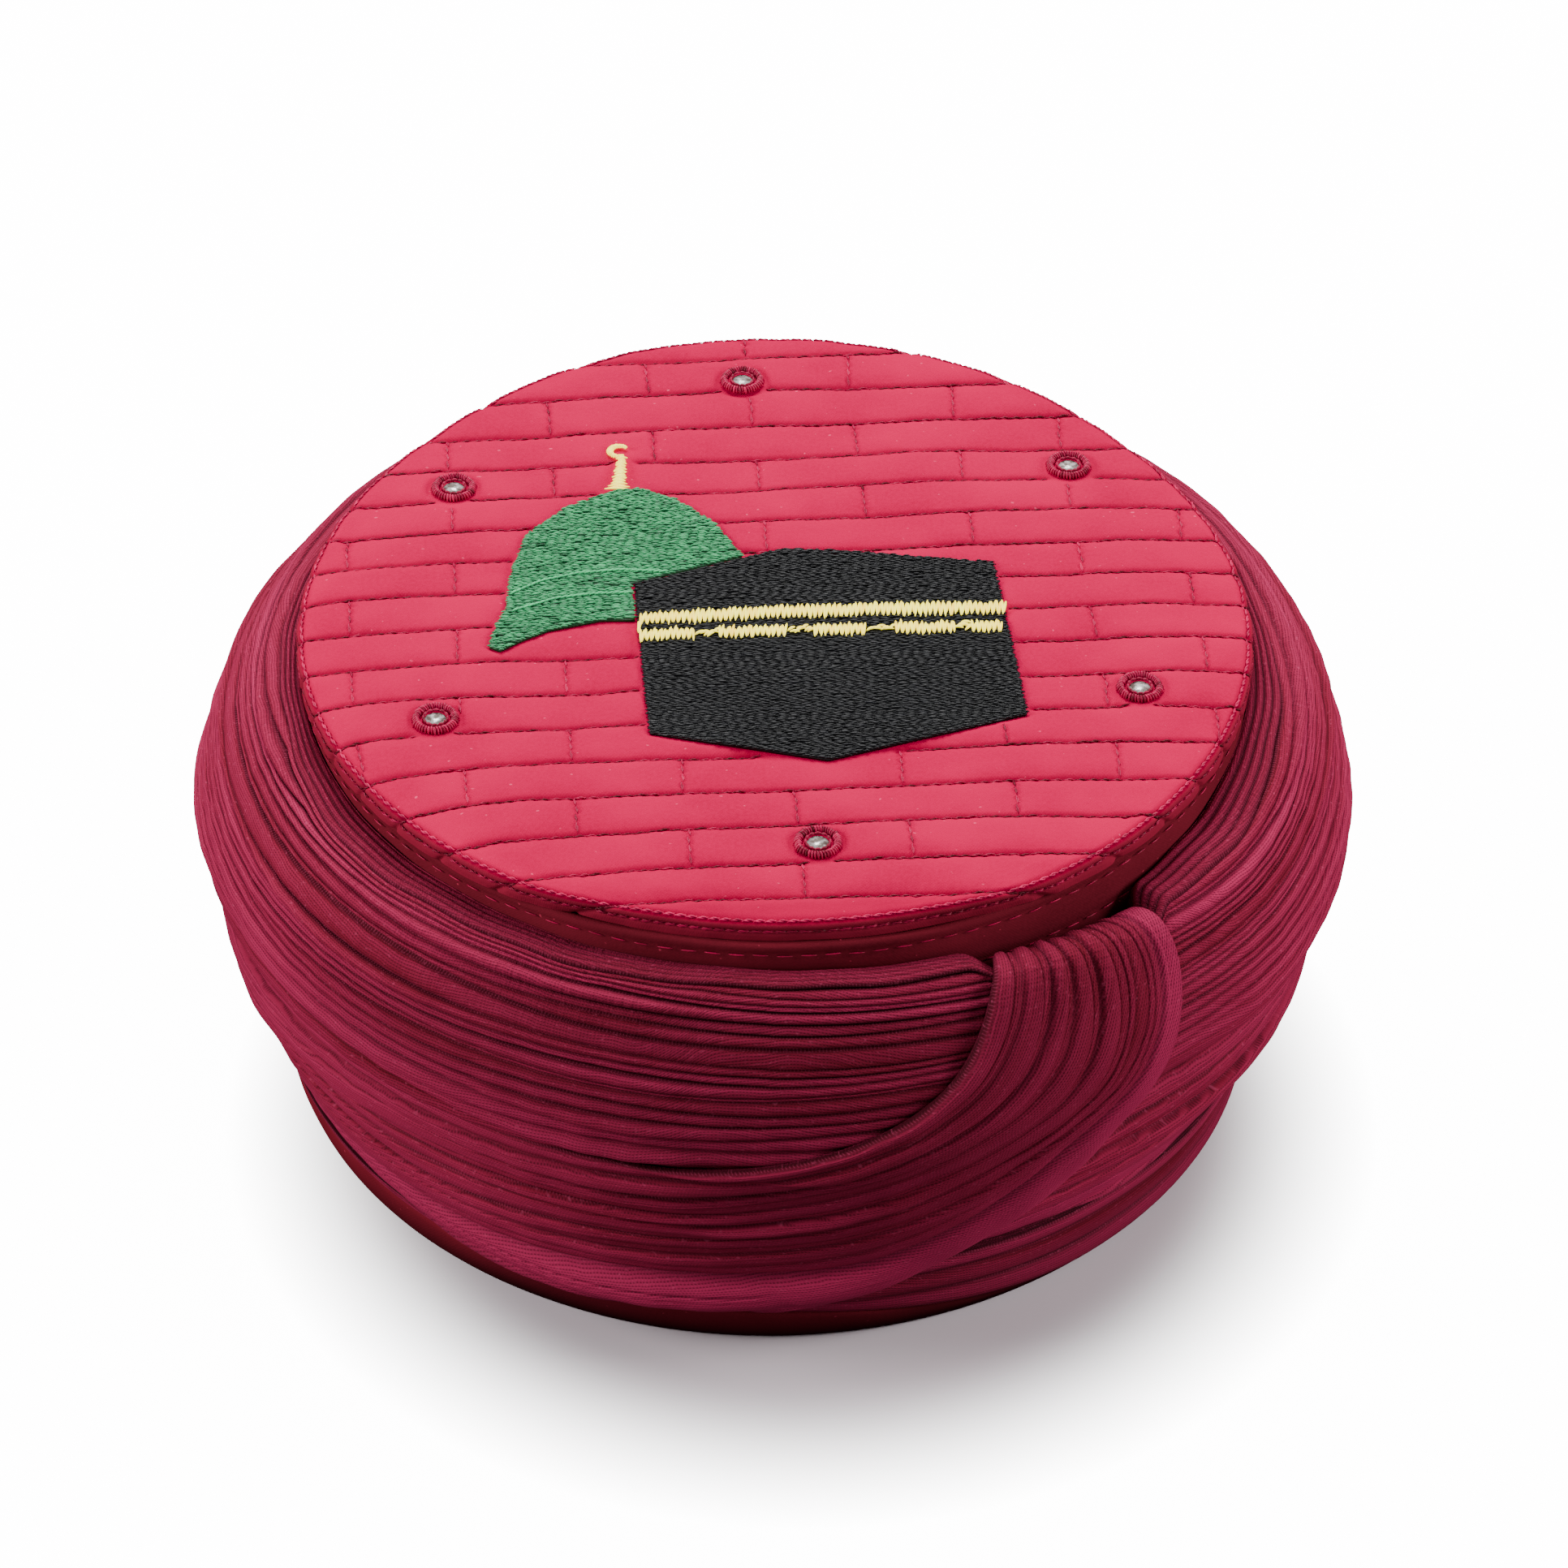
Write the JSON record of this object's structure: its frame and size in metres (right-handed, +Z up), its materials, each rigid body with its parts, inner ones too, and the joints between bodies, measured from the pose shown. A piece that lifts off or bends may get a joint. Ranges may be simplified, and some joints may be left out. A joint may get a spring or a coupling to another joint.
{
  "type": "wrapped turban",
  "caption": "Ready-wound turban: stiff round cap with quilted, embroidered crown, pleated cloth wound round it and one pleated end crossing the front.",
  "frame": {"origin": "centre of the foot, on the surface that the turban stands on", "axes": "+Z up through the crown, -Y to the front, where the cloth's end crosses the winding, +X to the right as seen from the front"},
  "size_m": [0.2236, 0.2252, 0.099],
  "materials": {
    "crown_cloth": "padded plain cotton, matt, quilted in rows",
    "cap_cloth": "plain cotton over a stiffened band, matt",
    "winding_cloth": "thin open-weave cloth in fine pleats, soft sheen",
    "crimson_thread": "twisted sewing thread, satin",
    "black_thread": "dense embroidery, satin",
    "green_thread": "dense embroidery, satin",
    "gold_thread": "zigzag satin stitch, shiny thread",
    "mirror_glass": "silvered glass"
  },
  "bodies": {
    "root": {"crown_top": "crown_cloth", "side_band": "cap_cloth", "foot_band": "cap_cloth", "upper_winding": "winding_cloth", "last_turn": "winding_cloth", "building_patch": "black_thread", "dome_patch": "green_thread", "gold_band_upper": "gold_thread", "gold_band_lower": "gold_thread", "dome_finial": "gold_thread", "mirror_1": "mirror_glass", "mirror_2": "mirror_glass", "mirror_3": "mirror_glass", "mirror_4": "mirror_glass", "mirror_5": "mirror_glass", "mirror_6": "mirror_glass", "mirror_ring_1": "crimson_thread", "mirror_ring_2": "crimson_thread", "mirror_ring_3": "crimson_thread", "mirror_ring_4": "crimson_thread", "mirror_ring_5": "crimson_thread", "mirror_ring_6": "crimson_thread"}
  },
  "joints": []
}
